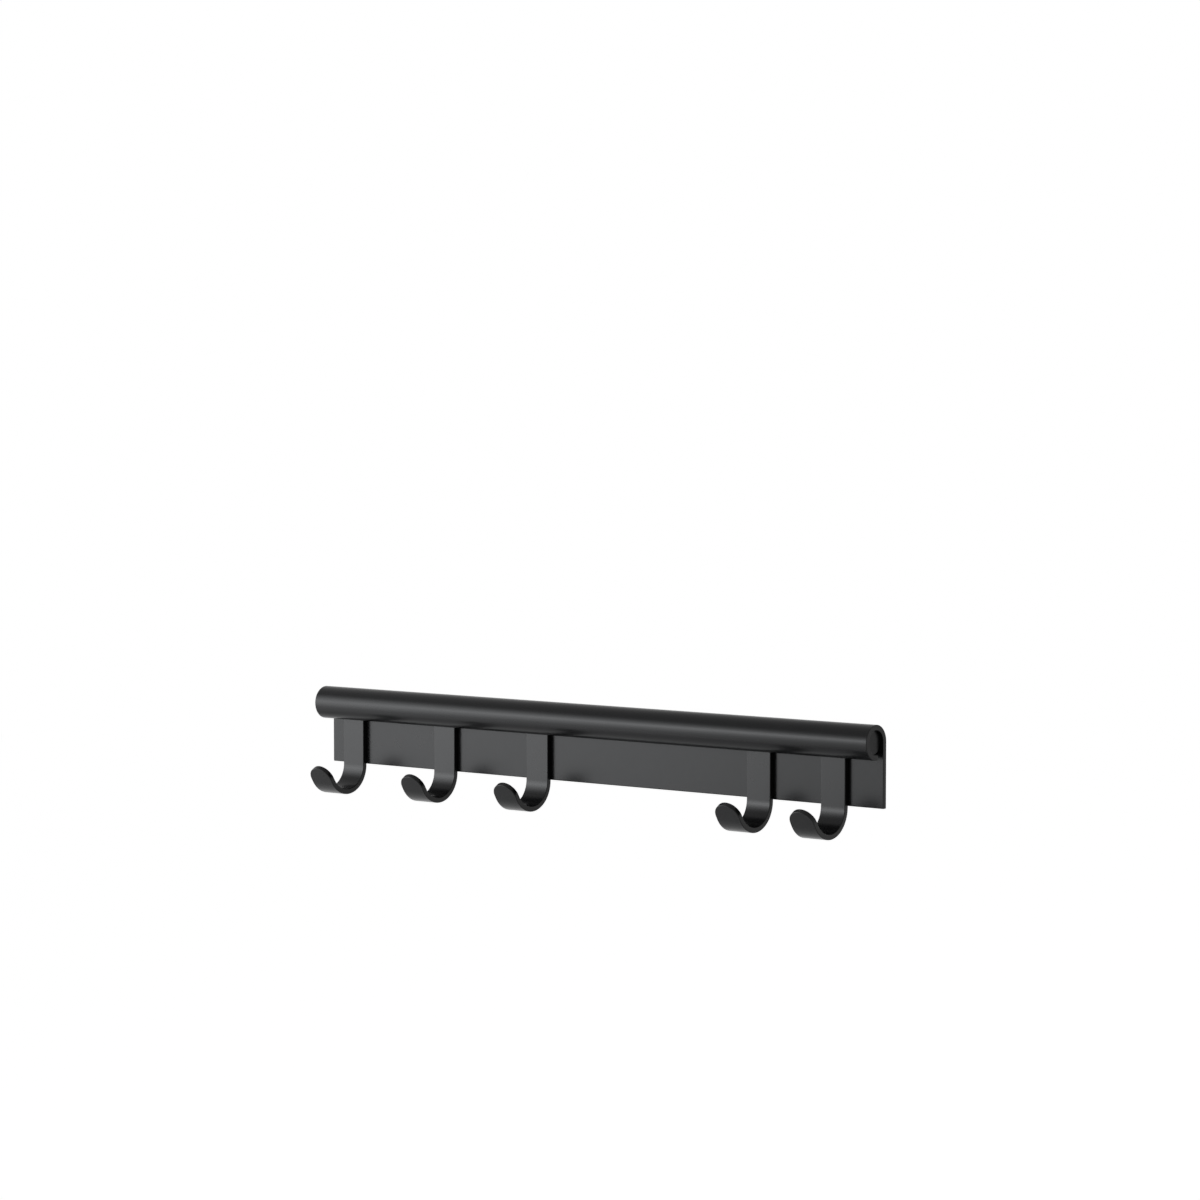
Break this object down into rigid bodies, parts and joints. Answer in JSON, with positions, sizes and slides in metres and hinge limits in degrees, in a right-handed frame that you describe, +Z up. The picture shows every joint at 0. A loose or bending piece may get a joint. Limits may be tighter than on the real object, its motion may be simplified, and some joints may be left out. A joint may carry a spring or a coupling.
{
  "type": "wall hook rack",
  "caption": "Satin black wall rail whose coiled upper edge carries bent flat-bar J hooks, each of which slides along the coil.",
  "frame": {"origin": "on the plate's back face, at mid length and at the height of the screw holes", "axes": "+X along the rail, to the right of a person who faces it; +Y into the wall; +Z up"},
  "size_m": [0.6, 0.0582, 0.0943],
  "materials": {
    "rail_coat": "satin black coat",
    "hook_coat": "satin black coat",
    "plug_plastic": "matt black"
  },
  "bodies": {
    "rail": {"rail": "rail_coat", "end_plug_left": "plug_plastic", "end_plug_right": "plug_plastic"},
    "hook_1": {"hook_1": "hook_coat"},
    "hook_2": {"hook_2": "hook_coat"},
    "hook_3": {"hook_3": "hook_coat"},
    "hook_4": {"hook_4": "hook_coat"},
    "hook_5": {"hook_5": "hook_coat"}
  },
  "joints": [
    {"name": "hook_1_slide", "type": "slide", "parent": "rail", "child": "hook_1", "axis": [1, 0, 0], "range_m": [-0.0033, 0.0418]},
    {"name": "hook_2_slide", "type": "slide", "parent": "rail", "child": "hook_2", "axis": [1, 0, 0], "range_m": [-0.0418, 0.0407]},
    {"name": "hook_3_slide", "type": "slide", "parent": "rail", "child": "hook_3", "axis": [1, 0, 0], "range_m": [-0.0407, 0.106]},
    {"name": "hook_4_slide", "type": "slide", "parent": "rail", "child": "hook_4", "axis": [1, 0, 0], "range_m": [-0.106, 0.025]},
    {"name": "hook_5_slide", "type": "slide", "parent": "rail", "child": "hook_5", "axis": [1, 0, 0], "range_m": [-0.025, 0.0206]}
  ]
}
